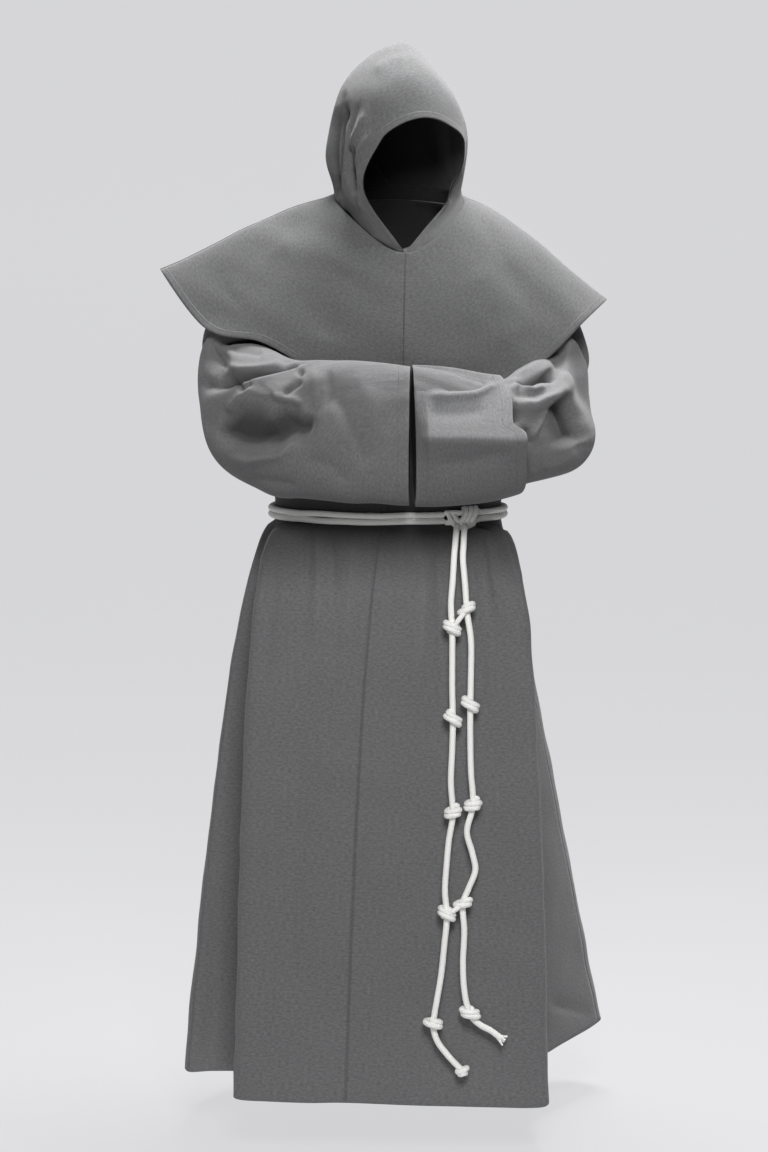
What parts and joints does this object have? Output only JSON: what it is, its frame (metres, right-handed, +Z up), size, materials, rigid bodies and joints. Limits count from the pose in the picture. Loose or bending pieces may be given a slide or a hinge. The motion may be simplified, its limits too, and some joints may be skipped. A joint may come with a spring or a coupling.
{
  "type": "monk habit",
  "caption": "Hollow worn monk habit: long tunic, wide crossed sleeves, shoulder cape with pointed hood, and a knotted rope belt.",
  "frame": {"origin": "middle of the wearer's shoulders at the base of the neck, where the habit hangs on the wearer", "axes": "+Z up along the wearer, -Y the way the habit faces, +X the wearer's left"},
  "size_m": [0.7217, 0.532, 1.6655],
  "materials": {
    "cloth": "matte mid-grey plain weave with a fine fleck",
    "rope": "matte off-white braided cotton rope"
  },
  "bodies": {
    "root": {"tunic_front_left": "cloth", "tunic_front_right": "cloth", "tunic_back": "cloth", "sleeve_left": "cloth", "sleeve_right": "cloth", "cuff_left": "cloth", "cape_front_left": "cloth", "cape_front_right": "cloth", "cape_back": "cloth", "hood": "cloth", "belt_rope_upper": "rope", "belt_rope_lower": "rope", "belt_knot": "rope", "rope_end_right": "rope", "rope_end_left": "rope", "rope_knot_right_1": "rope", "rope_knot_right_2": "rope", "rope_knot_right_3": "rope", "rope_knot_right_4": "rope", "rope_knot_right_5": "rope", "rope_knot_left_1": "rope", "rope_knot_left_2": "rope", "rope_knot_left_3": "rope", "rope_knot_left_4": "rope", "rope_knot_left_5": "rope"}
  },
  "joints": []
}
